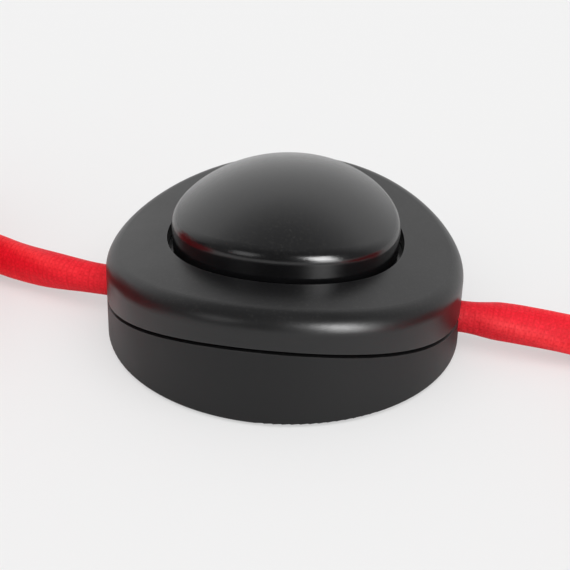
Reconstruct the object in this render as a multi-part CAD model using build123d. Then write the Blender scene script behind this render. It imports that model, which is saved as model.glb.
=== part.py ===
from build123d import *
import math
import os

# In-line foot switch on a textile lamp flex. All lengths are in millimetres.
# The origin is the floor point under the middle of the switch, +Z is up,
# the flex runs along X and -Y is the side that the foot comes from.

# Outline of the round casing
body_radius = 32.5
pad_proud = 0.4
seam_mid = 14.9
seam_drop = 7.7
roof_mid = 21.5
roof_drop = 5.85
roof_rim_round = 3.4
foot_round = 0.5

# Walls, seam and inside of the casing
wall = 2.5
floor_thick = 2.2
roof_thick = 2.2
seam_groove = 0.7
tongue_thick = 1.0
tongue_rise = 1.4
tongue_gap = 0.1

# Foot button
button_hole_radius = 21.45
button_low_radius = 20.3
button_flare = 0.65
button_top = 30.25
button_drop_x = 7.3
button_drop_y = 3.9
button_rim_round = 2.5
button_wall = 1.9
button_inner_radius = 18.7
button_travel = 3.5
flange_radius = 22.9
flange_thick = 1.4
flange_gap = 0.2
stop_height = 16.4
skirt_inner_radius = 23.2
skirt_outer_radius = 24.4
skirt_low = 11.4
guide_rib_width = 2.4
guide_notch_width = 3.0
guide_rib_radius = 22.0
guide_count = 4
slide_gap = 0.25

# Flex: three cores under a textile braid
cord_diameter = 7.0
cord_squeezed_diameter = 5.9
cord_height = 6.0
cord_hole_gap = 0.1
cord_mouth_flare = 0.8
sheath_end_inset = 9.3
core_radius = 0.95
core_spacing = 1.97

# Cover screws, driven from beneath
cover_screw_inset = 5.3
cover_boss_radius = 4.4
cover_boss_top = 8.0
cover_post_radius = 3.1
cover_screw_seat = 4.4
cover_screw_length = 12.0
cover_screw_radius = 1.45
cover_screw_head_radius = 2.7
cover_screw_head_height = 2.0
screw_gap = 0.05
seat_gap = 0.05

# Rubber pads
pad_radius = 4.5
pad_recess = 0.8
pad_offset = 16.5
pad_gap = 0.1

# Switch module
block_side = 24.0
block_round = 2.2
block_top = 12.0
tower_radius = 9.5
tower_top = 19.9
chamber_radius = 7.6
chamber_top = 8.0
driver_bore_radius = 6.6
lid_thick = 1.4
lid_step = 0.7
lid_step_radius = 8.0
block_screw_offset = 9.4
block_screw_radius = 0.85
block_screw_head_radius = 1.8
block_screw_head_height = 1.2
block_screw_length = 8.8
block_boss_radius = 1.8
block_boss_rise = 2.4

# Ratchet rotor and its driver
pivot_radius = 1.5
pivot_run_gap = 0.05
pivot_boss_radius = 3.2
pivot_boss_top = 5.2
pivot_depth = 2.3
hub_radius = 2.6
rotor_low = 6.0
rotor_thick = 1.6
rotor_radius = 7.2
tooth_count = 4
tooth_inner_radius = 3.9
tooth_outer_radius = 6.4
tooth_foot_rise = 0.3
tooth_crest = 1.0
tooth_crest_rise = 0.2
rotor_turn_deg = 45.0
peg_ring_radius = 5.1
peg_radius = 0.7
peg_gap = 0.2
driver_low = 15.5
driver_thick = 2.9
stem_radius = 2.6
stem_gap = 0.3
stem_key_side = 3.6
stem_key_length = 3.1
socket_low = 24.45
socket_radius = 4.2

# Return spring
spring_radius = 10.55
spring_wire_radius = 0.45
spring_turns = 5
spring_end_gap = 0.1
spring_seat_low = 24.3
spring_seat_inner = 9.8
spring_seat_outer = 11.6

# Contacts and terminals
bridge_thick = 0.7
bridge_width = 4.0
bridge_reach = 6.9
bridge_ring_radius = 4.2
bridge_gap = 0.1
leaf_width = 3.6
leaf_thick = 0.5
leaf_contact_gap = 0.15
leaf_tip_x = 4.6
leaf_flat_x = 6.4
leaf_bend_x = 7.6
leaf_slot_width = 4.2
leaf_slot_height = 1.8
terminal_length = 5.4
terminal_width = 6.0
terminal_top = 9.4
terminal_x = 16.4
wire_hole_radius = 1.2
through_terminal_length = 12.0
through_terminal_width = 5.5
through_terminal_y = 17.5
through_screw_x = 3.4
terminal_screw_radius = 1.2
terminal_screw_hole_gap = 0.05
terminal_screw_head_radius = 2.0
terminal_screw_head_height = 1.25
pocket_rib_thick = 1.0
pocket_rib_rise = 3.0
pocket_gap = 0.1

# Cord clamps
clamp_inset = 6.1
clamp_width = 4.0
clamp_length = 16.0
clamp_thick = 1.8
clamp_low = 9.05
clamp_post_y = 5.7
clamp_post_radius = 2.4
clamp_screw_radius = 1.15
clamp_screw_length = 6.0
clamp_screw_head_radius = 2.1
clamp_screw_head_height = 1.3
cradle_width = 3.0
cradle_side = 6.2

# Put-away coils of the flex beside the switch
input_coil_centre = (-102.6, -9.8)
input_coil_inner = 31.5
input_coil_outer = 38.5
input_coil_layers = 4
output_coil_centre = (104.8, -15.5)
output_coil_radius = 35.0
output_coil_layers = 2
coil_layer_rise = 7.0
coil_step_deg = 22.5
top_turn_start_deg = 202.5
top_turn_corners = 9
coil_slack = 0.3
coil_corner_round = 3.0

# Mains plug on the input side, which lies on its coil
plug_x = -130.6
plug_rear_y = 0.7
plug_radius = 18.5
plug_flat = 16.6
plug_rim_length = 9.0
plug_length = 36.0
plug_neck_radius = 5.6
plug_neck_length = 9.0
plug_shoulder_radius = 12.5
plug_rim_round = 1.2
pin_radius = 2.4
pin_length = 19.0
pin_spacing = 19.0
pin_root = 8.0
clip_width = 4.4
clip_thick = 0.9
clip_length = 13.0
clip_groove_width = 7.0
clip_groove_depth = 1.9
plug_screw_radius = 1.5
plug_screw_head_radius = 2.9
plug_screw_length = 14.0
plug_screw_sink = 1.6

# Bare cores at the lamp end
lamp_core_length = 22.0
lamp_core_gap = 0.4
lamp_core_spread_deg = 9.0
lamp_core_turn_deg = 12.0
ferrule_length = 8.0
ferrule_radius = 0.8
ferrule_collar_radius = 1.3
ferrule_collar_length = 2.5
ferrule_lift = 0.35

# Worked out from the values above
base_low = pad_proud
floor_top = base_low + floor_thick
cavity_radius = body_radius - wall
cord_radius = cord_diameter / 2
cord_squeezed_radius = cord_squeezed_diameter / 2
cord_hole_radius = cord_squeezed_radius + cord_hole_gap
flange_top = stop_height - flange_gap
flange_low = flange_top - flange_thick
dome_inside = button_top - button_wall
rotor_top = rotor_low + rotor_thick
cover_screw_y = body_radius - cover_screw_inset
clamp_x = body_radius - clamp_inset
sheath_end_x = body_radius - sheath_end_inset
input_coil_top = (input_coil_layers - 1) * coil_layer_rise + cord_diameter + coil_slack
output_coil_top = (output_coil_layers - 1) * coil_layer_rise + cord_diameter + coil_slack
plug_z = input_coil_top + plug_flat
SEAT = (Align.CENTER, Align.CENTER, Align.MIN)


def arch_radius(drop):
    """Radius of the arch that falls by drop from the middle to the casing's side."""
    return (body_radius**2 + drop**2) / (2 * drop)


def arch_block(middle, radius, low, reach):
    """Everything between the level low and a roof that is arched along X."""
    fall = radius - math.sqrt(radius**2 - reach**2)
    roof = ThreePointArc((-reach, middle - fall), (0, middle), (reach, middle - fall))
    walls = Polyline((reach, middle - fall), (reach, low), (-reach, low), (-reach, middle - fall))
    return extrude(Plane.XZ * make_face(roof + walls), reach, both=True)


def under_seam(offset, low=-5.0):
    """Everything below the seam line, moved up by offset."""
    return arch_block(seam_mid + offset, arch_radius(seam_drop) + offset, low, body_radius + 4)


def under_roof(offset, low=-5.0):
    """Everything below the cover's top, moved up by offset."""
    return arch_block(roof_mid + offset, arch_radius(roof_drop) + offset, low, body_radius + 4)


def post(radius, low, high, x=0.0, y=0.0):
    """Upright cylinder from low to high."""
    return Pos(x, y, low) * Cylinder(radius, high - low, align=SEAT)


def ring(outer, inner, low, high):
    """Upright ring from low to high."""
    return post(outer, low, high) - post(inner, low - 1, high + 1)


def bar_along_x(radius, start, end, y, z):
    """Level cylinder along X."""
    low, high = min(start, end), max(start, end)
    return Pos(low, y, z) * Rot(Y=90) * Cylinder(radius, high - low, align=SEAT)


def upright_box(length, width, low, high, x=0.0, y=0.0):
    """Box centred on x, y, from low to high."""
    return Pos(x, y, low) * Box(length, width, high - low, align=SEAT)


def rod(start, end, radius):
    """Straight round rod between two points."""
    line = Line(start, end)
    return extrude(Plane(line @ 0, z_dir=line % 0) * Circle(radius), line.length)


def screw(seat, x, y, radius, length, head_radius, head_height, crossed, upward=False):
    """Screw whose head bears on the level seat, point down, or up when driven from beneath."""
    slot = head_radius * 0.28
    body = Cylinder(radius, length, align=(Align.CENTER, Align.CENTER, Align.MAX))
    head = fillet(Cylinder(head_radius, head_height, align=SEAT).edges().group_by(Axis.Z)[-1],
                  head_height * 0.3)
    cut = Pos(Z=head_height * 0.5) * Box(head_radius * 3, slot, head_height, align=SEAT)
    if crossed:
        arm = Pos(Z=head_height * 0.4) * Box(head_radius * 1.2, slot, head_height, align=SEAT)
        cut = arm + Rot(Z=90) * arm
    piece = body + head - cut
    turn = Rot(X=180) if upward else Rot(X=0)
    return Pos(x, y, seat) * turn * piece


def spread(route):
    """Radii for the corners of a route: each arc as large as its two runs allow."""
    points = [Vector(*p) for p in route]
    radii = []
    for before, here, after in zip(points, points[1:], points[2:]):
        turn = (here - before).get_angle(after - here)
        shorter = min((here - before).length, (after - here).length)
        radii.append(0.45 * shorter / math.tan(math.radians(turn / 2)))
    return radii


def tube(name, route, radius):
    """Round tube along straight runs that are joined by tangent arcs."""
    radii = spread(route)
    path = FilletPolyline(*route, radius=radii)
    solid = sweep(Plane(path @ 0, z_dir=path % 0) * Circle(radius), path=path)
    section = math.pi * radius**2
    print(name, "length", round(path.length, 1), "radii", [round(r, 1) for r in radii],
          "volume ratio", round(solid.volume / (section * path.length), 4))
    return solid


def cord_holes():
    """The two round mouths that let the flex through the casing's wall."""
    holes = []
    for side in (-1, 1):
        hole = bar_along_x(cord_hole_radius, side * (cavity_radius - 2), side * (body_radius + 3),
                           0, cord_height)
        mouth = Pos(side * (body_radius - cord_mouth_flare / 2), 0, cord_height) * Rot(Y=side * 90)
        mouth *= Cone(cord_hole_radius, cord_hole_radius + cord_mouth_flare, cord_mouth_flare * 2)
        holes += [hole, mouth]
    return holes


def pad_spots():
    """Middles of the four rubber pads."""
    return [(sx * pad_offset, sy * pad_offset) for sx in (-1, 1) for sy in (-1, 1)]


def make_base_shell():
    """Lower shell: wall with its tongue, screw bosses, module seat, clamp posts and cradles."""
    shell = post(body_radius, base_low, seam_mid + 4)
    shell = fillet(shell.edges().group_by(Axis.Z)[0], foot_round)
    shell &= under_seam(tongue_rise)
    outer_band = ring(body_radius + 2, cavity_radius + tongue_thick, base_low - 1, seam_mid + 5)
    shell -= outer_band - under_seam(-seam_groove / 2)
    shell -= post(cavity_radius, floor_top, seam_mid + 5)
    for side in (-1, 1):
        shell += post(cover_boss_radius, base_low + 0.6, cover_boss_top, 0, side * cover_screw_y) \
            & post(cavity_radius + 0.5, base_low, cover_boss_top)
        shell += upright_box(cradle_width, cradle_side, floor_top - 0.5, cord_height, side * clamp_x)
        for across in (-1, 1):
            shell += post(clamp_post_radius, floor_top - 0.5, clamp_low - seat_gap,
                          side * clamp_x, across * clamp_post_y)
            rib_y = across * through_terminal_y
            for edge in (-1, 1):
                offset = through_terminal_width / 2 + pocket_gap + pocket_rib_thick / 2
                shell += upright_box(through_terminal_length / 2, pocket_rib_thick,
                                     floor_top - 0.5, floor_top + pocket_rib_rise,
                                     0, rib_y + edge * offset)
        shell += post(block_boss_radius, floor_top - 0.5, floor_top + block_boss_rise,
                      side * block_screw_offset, side * block_screw_offset)
    shell += post(pivot_boss_radius, floor_top - 0.5, pivot_boss_top)
    shell -= post(pivot_radius + pivot_run_gap, pivot_boss_top - pivot_depth, pivot_boss_top + 1)
    for side in (-1, 1):
        head_hole = cover_screw_head_radius + 0.2
        shell -= post(head_hole, base_low - 1, cover_screw_seat, 0, side * cover_screw_y)
        shell -= post(cover_screw_radius + 0.2, base_low, cover_boss_top + 1, 0, side * cover_screw_y)
        spot = side * block_screw_offset
        shell -= post(block_screw_radius + screw_gap, floor_top + 0.2,
                      floor_top + block_boss_rise + 1, spot, spot)
        for across in (-1, 1):
            shell -= post(clamp_screw_radius + screw_gap, clamp_low - clamp_screw_length,
                          clamp_low + 1, side * clamp_x, across * clamp_post_y)
        shell -= bar_along_x(cord_hole_radius, side * (clamp_x - cradle_width),
                             side * (clamp_x + cradle_width), 0, cord_height)
    for x, y in pad_spots():
        shell -= post(pad_radius + pad_gap, base_low - 1, base_low + pad_recess, x, y)
    for hole in cord_holes():
        shell -= hole
    return shell


def make_top_cover():
    """Upper shell: arched roof, button hole with its collar and skirt, and screw posts."""
    shell = post(body_radius, base_low, roof_mid + 2) & under_roof(0.0)
    rim = [e for e in shell.edges() if e.bounding_box().min.Z > base_low + 1]
    shell = fillet(rim, roof_rim_round)
    shell -= under_seam(seam_groove / 2)
    shell -= post(cavity_radius, base_low - 1, roof_mid + 5) & under_roof(-roof_thick)
    step = cavity_radius + tongue_thick + tongue_gap
    shell -= post(step, base_low - 1, roof_mid) & under_seam(tongue_rise + tongue_gap)
    collar = post(skirt_outer_radius, skirt_low, roof_mid + 5) & under_roof(-roof_thick / 2)
    posts = [post(cover_post_radius, cover_boss_top + seat_gap, roof_mid, 0, side * cover_screw_y)
             & post(cavity_radius - tongue_gap, base_low, roof_mid) & under_roof(-roof_thick / 2)
             for side in (-1, 1)]
    shell += collar
    for boss in posts:
        shell += boss
    shell -= post(button_hole_radius, skirt_low - 1, roof_mid + 5)
    shell -= post(skirt_inner_radius, skirt_low - 1, stop_height)
    for index in range(guide_count):
        turn = Rot(Z=45 + index * 360 / guide_count)
        depth = skirt_inner_radius + 0.5 - guide_rib_radius
        rib = turn * upright_box(depth, guide_rib_width, skirt_low, stop_height + 0.2,
                                 guide_rib_radius + depth / 2)
        shell += rib
    for side in (-1, 1):
        shell -= post(cover_screw_radius + screw_gap, cover_boss_top - 1,
                      cover_screw_seat + cover_screw_length + 0.5, 0, side * cover_screw_y)
    for hole in cord_holes():
        shell -= hole
    return shell


def dome(offset):
    """Everything under the button's top: arched more along X than along Y."""
    radius_x = (button_reach**2 + button_drop_x**2) / (2 * button_drop_x) + offset
    radius_y = (button_reach**2 + button_drop_y**2) / (2 * button_drop_y) + offset
    apex = button_top + offset
    reach = button_reach + 3
    fall = radius_x - math.sqrt(radius_x**2 - reach**2)
    low = apex - button_top / 1.5
    top = ThreePointArc((-reach, apex - fall), (0, apex), (reach, apex - fall))
    sides = Polyline((reach, apex - fall), (reach, low), (-reach, low), (-reach, apex - fall))
    half_turn = 35
    slice_face = Plane.XZ * make_face(top + sides)
    axis = Axis((0, 0, apex - radius_y), (1, 0, 0))
    return revolve(slice_face.rotate(axis, -half_turn), axis, 2 * half_turn)


button_reach = button_low_radius + button_flare * 0.7


def make_foot_button():
    """Domed cap with its retaining flange, guide notches, spring seat and stem socket."""
    height = button_top - flange_top
    cap = Pos(Z=flange_low) * Cone(button_low_radius, button_low_radius + button_flare,
                                   height + flange_thick, align=SEAT)
    cap &= dome(0.0)
    rim = [e for e in cap.edges() if e.bounding_box().min.Z > stop_height + 2 and e.length > button_low_radius]
    cap = fillet(rim, button_rim_round)
    cap += post(flange_radius, flange_low, flange_top)
    cap -= post(button_inner_radius, flange_low - 1, button_top) & dome(-button_wall)
    inside = dome(-button_wall / 2)
    cap += ring(spring_seat_outer, spring_seat_inner, spring_seat_low, button_top) & inside
    cap += post(socket_radius, socket_low, button_top) & inside
    key = stem_key_side + 2 * seat_gap
    cap -= upright_box(key, key, socket_low - 1, socket_low + stem_key_length + seat_gap)
    for index in range(guide_count):
        notch_x = (guide_rib_radius - slide_gap + flange_radius) / 2 + 1
        length = flange_radius + 2 - (guide_rib_radius - slide_gap)
        turn = Rot(Z=45 + index * 360 / guide_count)
        cap -= turn * upright_box(length, guide_notch_width, flange_low - 1, flange_top + 0.01,
                                  notch_x)
    return cap


def peg_slope():
    """Rise per length of a tooth's slant, so that the travel gives the rotor its turn."""
    half = peg_ring_radius * math.sin(math.radians(rotor_turn_deg / 2))
    return button_travel / (2 * half), half


def make_plunger():
    """Stem that carries the driver disc and its four pegs."""
    slope, _ = peg_slope()
    ramp_top = rotor_top + tooth_foot_rise + button_travel
    lean = math.cos(math.atan(slope))
    ball_z = ramp_top + (peg_radius + peg_gap) / lean
    piece = post(driver_bore_radius - slide_gap, driver_low, driver_low + driver_thick)
    piece += post(stem_radius, driver_low, socket_low - seat_gap)
    piece += upright_box(stem_key_side, stem_key_side, socket_low - 1, socket_low + stem_key_length)
    for index in range(tooth_count):
        turn = Rot(Z=rotor_turn_deg / 2 + index * 360 / tooth_count)
        piece += turn * post(peg_radius, ball_z, driver_low + 0.5, peg_ring_radius)
        piece += turn * Pos(peg_ring_radius, 0, ball_z) * Sphere(peg_radius)
    return piece


def make_ratchet_rotor():
    """Disc with a pivot pin below and four slanted teeth above."""
    slope, half = peg_slope()
    low = rotor_top
    foot = -half - tooth_foot_rise / slope
    crest_z = low + tooth_foot_rise + button_travel + tooth_crest_rise
    crest_start = half + tooth_crest_rise / slope
    outline = Polyline((foot, low - 0.3), (foot, low), (crest_start, crest_z),
                       (crest_start + tooth_crest, crest_z), (crest_start + tooth_crest, low - 0.3),
                       close=True)
    wedge = extrude(Plane.YZ * make_face(outline), tooth_outer_radius + 2)
    wedge &= ring(tooth_outer_radius, tooth_inner_radius, low - 0.5, crest_z + 1)
    piece = post(rotor_radius, rotor_low, rotor_top)
    piece += post(hub_radius, pivot_boss_top + bridge_gap, rotor_low + 0.5)
    piece += post(pivot_radius, pivot_boss_top - pivot_depth + 0.3, rotor_low + 0.5)
    for index in range(tooth_count):
        piece += Rot(Z=index * 360 / tooth_count) * wedge
    return piece


def make_contact_bridge():
    """Brass plate under the rotor that joins the two leaves."""
    low = rotor_low - bridge_thick
    plate = post(bridge_ring_radius, low, rotor_low)
    plate += upright_box(2 * bridge_reach, bridge_width, low, rotor_low) \
        & post(bridge_reach, low, rotor_low)
    return plate - post(hub_radius + bridge_gap, low - 1, rotor_low + 1)


def make_switch_housing():
    """Square block with a round tower: rotor chamber below, driver bore above."""
    block = upright_box(block_side, block_side, floor_top, block_top)
    block = fillet(block.edges().filter_by(Axis.Z), block_round)
    block += post(tower_radius, block_top - 1, tower_top)
    block -= post(chamber_radius, floor_top - 1, chamber_top)
    block -= post(driver_bore_radius, floor_top, tower_top + 1)
    block -= post(lid_step_radius, tower_top - lid_step, tower_top + 1)
    block -= upright_box(block_side + 2, leaf_slot_width, floor_top - 1,
                         floor_top + leaf_slot_height)
    for side in (-1, 1):
        spot = side * block_screw_offset
        block -= post(block_screw_radius + 0.15, floor_top, block_top + 1, spot, spot)
        block -= post(block_boss_radius + 0.1, floor_top - 1, floor_top + block_boss_rise + 0.1,
                      spot, spot)
    return block


def make_housing_lid():
    """Lid of the tower, with the guide hole for the stem."""
    lid = post(tower_radius, tower_top, tower_top + lid_thick - lid_step)
    lid += post(lid_step_radius - 0.05, tower_top - lid_step + 0.05, tower_top + 0.1)
    return lid - post(stem_radius + stem_gap, floor_top, tower_top + 5)


def make_return_spring():
    """Coil spring between the module's shoulder and the button."""
    low = block_top + spring_end_gap + spring_wire_radius
    high = spring_seat_low - spring_end_gap - spring_wire_radius
    path = Helix(pitch=(high - low) / spring_turns, height=high - low, radius=spring_radius)
    wire = sweep(Plane(path @ 0, z_dir=path % 0) * Circle(spring_wire_radius), path=path,
                 is_frenet=True)
    return Pos(Z=low) * wire


def make_line_contact(side):
    """Bent brass leaf from under a line terminal to the bridge."""
    high = rotor_low - bridge_thick - leaf_contact_gap - leaf_thick / 2
    low = floor_top + seat_gap + leaf_thick / 2
    route = [(side * (terminal_x + terminal_length / 2), 0, low), (side * leaf_bend_x, 0, low),
             (side * leaf_flat_x, 0, high), (side * leaf_tip_x, 0, high)]
    path = FilletPolyline(*route, radius=leaf_thick)
    face = Plane(path @ 0, x_dir=(0, 1, 0), z_dir=path % 0) * Rectangle(leaf_width, leaf_thick)
    return sweep(face, path=path)


def make_line_terminal(side):
    """Brass terminal block over the end of a leaf."""
    low = floor_top + leaf_thick + 2 * seat_gap
    block = upright_box(terminal_length, terminal_width, low, terminal_top, side * terminal_x)
    block = chamfer(block.edges().filter_by(Axis.Z), 0.4)
    block -= bar_along_x(wire_hole_radius, side * (terminal_x - terminal_length),
                         side * (terminal_x + terminal_length), 0, cord_height)
    return block - post(terminal_screw_radius + terminal_screw_hole_gap, cord_height,
                        terminal_top + 1, side * terminal_x)


def make_through_terminal(side):
    """Brass bar that joins the two cores of the neutral or of the earth."""
    y = side * through_terminal_y
    block = upright_box(through_terminal_length, through_terminal_width, floor_top + seat_gap,
                        terminal_top, 0, y)
    block = chamfer(block.edges().filter_by(Axis.Z), 0.4)
    block -= bar_along_x(wire_hole_radius, -through_terminal_length, through_terminal_length,
                         y, cord_height)
    for x in (-through_screw_x, through_screw_x):
        block -= post(terminal_screw_radius + terminal_screw_hole_gap, cord_height,
                      terminal_top + 1, x, y)
    return block


def make_terminal_screws(spots):
    """Slotted screws that press the cores in a terminal."""
    seat = terminal_top + seat_gap
    length = seat - (cord_height + core_radius + seat_gap)
    return [screw(seat, x, y, terminal_screw_radius, length, terminal_screw_head_radius,
                  terminal_screw_head_height, crossed=False) for x, y in spots]


def make_cord_clamp(side):
    """Bar that holds the flex down in its cradle."""
    bar = upright_box(clamp_width, clamp_length, clamp_low, clamp_low + clamp_thick,
                      side * clamp_x)
    bar = fillet(bar.edges().filter_by(Axis.Z), 1.2)
    bar -= bar_along_x(cord_hole_radius, side * (clamp_x - clamp_width),
                       side * (clamp_x + clamp_width), 0, cord_height)
    for y in (-clamp_post_y, clamp_post_y):
        bar -= post(clamp_screw_radius + 0.2, clamp_low - 1, clamp_low + clamp_thick + 1,
                    side * clamp_x, y)
    return bar


def make_clamp_screws():
    """Four screws of the two cord clamps."""
    seat = clamp_low + clamp_thick + seat_gap
    return [screw(seat, sx * clamp_x, sy * clamp_post_y, clamp_screw_radius, clamp_screw_length,
                  clamp_screw_head_radius, clamp_screw_head_height, crossed=True)
            for sx in (-1, 1) for sy in (-1, 1)]


def make_cover_screws():
    """Two long screws from beneath into the cover's posts."""
    return [screw(cover_screw_seat - seat_gap, 0, side * cover_screw_y, cover_screw_radius,
                  cover_screw_length, cover_screw_head_radius, cover_screw_head_height,
                  crossed=True, upward=True) for side in (-1, 1)]


def make_housing_screws():
    """Two screws that hold the module on the base."""
    return [screw(block_top + seat_gap, side * block_screw_offset, side * block_screw_offset,
                  block_screw_radius, block_screw_length, block_screw_head_radius,
                  block_screw_head_height, crossed=True) for side in (-1, 1)]


def make_rubber_pads():
    """Four round pads, set in the base and proud of it."""
    pads = []
    for x, y in pad_spots():
        pad = post(pad_radius, 0, base_low + pad_recess - seat_gap, x, y)
        pads.append(fillet(pad.edges().group_by(Axis.Z)[0], 0.3))
    return pads


def line_core(side):
    """Straight core from the sheath's end into a line terminal."""
    return bar_along_x(core_radius, side * (sheath_end_x - seat_gap),
                       side * (terminal_x - terminal_length / 4), 0, cord_height)


def through_core(name, side, across):
    """Core that bends from the sheath's end to a through terminal."""
    end_y = across * through_terminal_y
    route = [(side * 22.6, across * core_spacing), (side * 20.6, across * 2.9),
             (side * 18.2, across * 7.0), (side * 14.4, across * 13.2), (side * 10.2, across * 17.1),
             (side * through_screw_x * 0.7, end_y)]
    return tube(name, [(x, y, cord_height) for x, y in route], core_radius)


# Routes of the free flex, chosen by hand, from the casing's mouth into its coil,
# and from the top turn of the input coil to the plug
input_route = [(-33.2, 0, 6.0), (-44, 3.0, 5.4), (-57, 7.9, 4.7), (-69, 14.2, 3.9),
               (-80.8, 22.8, 3.5), (-87.9, 25.8, 3.5)]
output_route = [(33.2, 0, 6.0), (44, -0.7, 5.4), (57, -2.0, 4.7), (66.2, 0.0, 3.9),
                (75.1, 4.3, 3.5), (80.05, 9.25, 3.5)]
input_tail_route = [(-67.0, 4.9, 24.5), (-70.0, 12.0, 26.0), (-80.8, 22.8, 29.7),
                    (-94.9, 28.7, 34.6), (-108.2, 28.7, 38.9), (-118.5, 24.4, 41.9),
                    (-126.3, 16.6, 44.1), (plug_x, 6.3, plug_z), (plug_x, plug_rear_y, plug_z)]


def top_turn():
    """Last turn of the output flex, which lies on the ring of its coil."""
    step = math.radians(coil_step_deg)
    start = math.radians(top_turn_start_deg)
    x, y = output_coil_centre
    z = output_coil_top + cord_radius + seat_gap
    corner = output_coil_radius / math.cos(step / 2)
    route = [(x + output_coil_radius * math.cos(start), y + output_coil_radius * math.sin(start), z)]
    for index in range(top_turn_corners):
        angle = start - step * (index + 0.5)
        route.append((x + corner * math.cos(angle), y + corner * math.sin(angle), z))
    return route + [(x + output_coil_radius, y, z)]


def flex_with_end(name, side, route):
    """Free flex with the squeezed end that lies in the casing."""
    inner = bar_along_x(cord_squeezed_radius, side * sheath_end_x, route[0][0], 0, cord_height)
    return inner + tube(name, route, cord_radius)


def coil_ring(centre, inner, outer, height):
    """Outer shape of a neat round coil, between the middles of its inner and outer turns."""
    width = outer - inner + cord_diameter + 2 * coil_slack
    middle = Pos((inner + outer) / 2, height / 2)
    face = Plane.XZ * middle * RectangleRounded(width, height, coil_corner_round)
    return Pos(centre[0], centre[1], 0) * revolve(face, Axis.Z)


def plug_place():
    """Location of the plug: its front face looks along -Y."""
    return Pos(plug_x, plug_rear_y - plug_length, plug_z) * Rot(Z=-90) * Rot(Y=90)


def make_plug_body():
    """Moulded round plug with flats, clip grooves and a neck for the flex."""
    front = plug_length - plug_neck_length
    profile = make_face(Polyline((0, 0), (plug_radius, 0), (plug_radius, -plug_rim_length))
                        + Spline((plug_radius, -plug_rim_length), (plug_shoulder_radius, -front + 5),
                                 (plug_neck_radius, -front), tangents=[(0, -1), (-0.6, -1)])
                        + Polyline((plug_neck_radius, -front), (plug_neck_radius - 0.6, -plug_length),
                                   (0, -plug_length), (0, 0)))
    body = revolve(Plane.XZ * profile, Axis.Z)
    body = fillet(body.edges().group_by(Axis.Z)[-1], plug_rim_round)
    body &= Pos(Z=-plug_length - 1) * Box(2 * plug_flat, 4 * plug_radius, plug_length + 3, align=SEAT)
    for side in (-1, 1):
        groove_x = side * (plug_flat - clip_groove_depth / 2 + 0.5)
        body -= Pos(groove_x, 0, -clip_length) * Box(clip_groove_depth + 1, clip_groove_width,
                                                     clip_length + 1, align=SEAT)
        body -= Pos(0, side * pin_spacing / 2, -pin_root) * Cylinder(pin_radius + seat_gap,
                                                                     pin_root + 1, align=SEAT)
    body -= Pos(Z=-plug_screw_length - plug_screw_sink) * Cylinder(
        plug_screw_radius + screw_gap, plug_screw_length + 5, align=SEAT)
    body -= Pos(Z=-plug_screw_sink) * Cylinder(plug_screw_head_radius + 0.1, 5, align=SEAT)
    return plug_place() * body


def make_plug_pins():
    """Two round pins with rounded tips."""
    pins = []
    for side in (-1, 1):
        pin = Pos(0, side * pin_spacing / 2, -pin_root + seat_gap) * Cylinder(
            pin_radius, pin_root + pin_length, align=SEAT)
        pins.append(plug_place() * fillet(pin.edges().group_by(Axis.Z)[-1], pin_radius * 0.75))
    return pins


def make_plug_earth_clips():
    """Two earth strips, one in each flat of the plug."""
    clips = []
    for side in (-1, 1):
        offset = plug_flat - clip_groove_depth + clip_thick / 2 + seat_gap
        clip = Pos(side * offset, 0, -clip_length + seat_gap) * Box(
            clip_thick, clip_width, clip_length - 2, align=SEAT)
        clips.append(plug_place() * clip)
    return clips


def make_plug_screw():
    """Screw in the middle of the plug's face."""
    piece = screw(-plug_screw_sink + seat_gap, 0, 0, plug_screw_radius, plug_screw_length - 1,
                  plug_screw_head_radius, plug_screw_sink - 0.2, crossed=True)
    return plug_place() * piece


def lamp_end(index):
    """One bare core at the lamp end, and the metal ferrule on its tip."""
    (before_x, before_y, _), (x, y, z) = output_tail_route[-2:]
    heading = math.atan2(y - before_y, x - before_x)
    ahead = Vector(math.cos(heading), math.sin(heading), 0)
    aside = Vector(-math.sin(heading), math.cos(heading), 0)
    start = Vector(x, y, z) + ahead * lamp_core_gap + aside * ((index - 1) * core_spacing)
    angle = heading - math.radians(lamp_core_turn_deg - (index - 1) * lamp_core_spread_deg)
    fall = z - output_coil_top - ferrule_collar_radius - ferrule_lift
    reach = Vector(math.cos(angle), math.sin(angle), 0) * lamp_core_length
    end = start + reach - Vector(0, 0, fall)
    along = (end - start).normalized()
    core = rod(start, end, core_radius)
    collar = rod(end + along * seat_gap, end + along * ferrule_collar_length, ferrule_collar_radius)
    pin = rod(end + along * seat_gap, end + along * ferrule_length, ferrule_radius)
    return core, collar + pin


def write(name, shape):
    """Write one piece, or a group of separate like pieces, to its own file."""
    if isinstance(shape, list):
        shape = Compound(children=[Solid(piece.solids()[0].wrapped) for piece in shape])
    export_step(shape, f"parts/{name}.step")


os.makedirs("parts", exist_ok=True)
output_tail_route = top_turn()
input_coil = coil_ring(input_coil_centre, input_coil_inner, input_coil_outer, input_coil_top)
output_coil = coil_ring(output_coil_centre, output_coil_radius, output_coil_radius, output_coil_top)
input_tail = tube("input_tail", input_tail_route, cord_radius)
output_tail = tube("output_tail", output_tail_route, cord_radius)
lamp_ends = [lamp_end(index) for index in range(3)]
line_spots = [(-terminal_x, 0), (terminal_x, 0)]
neutral_spots = [(x, -through_terminal_y) for x in (-through_screw_x, through_screw_x)]
earth_spots = [(x, through_terminal_y) for x in (-through_screw_x, through_screw_x)]

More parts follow.
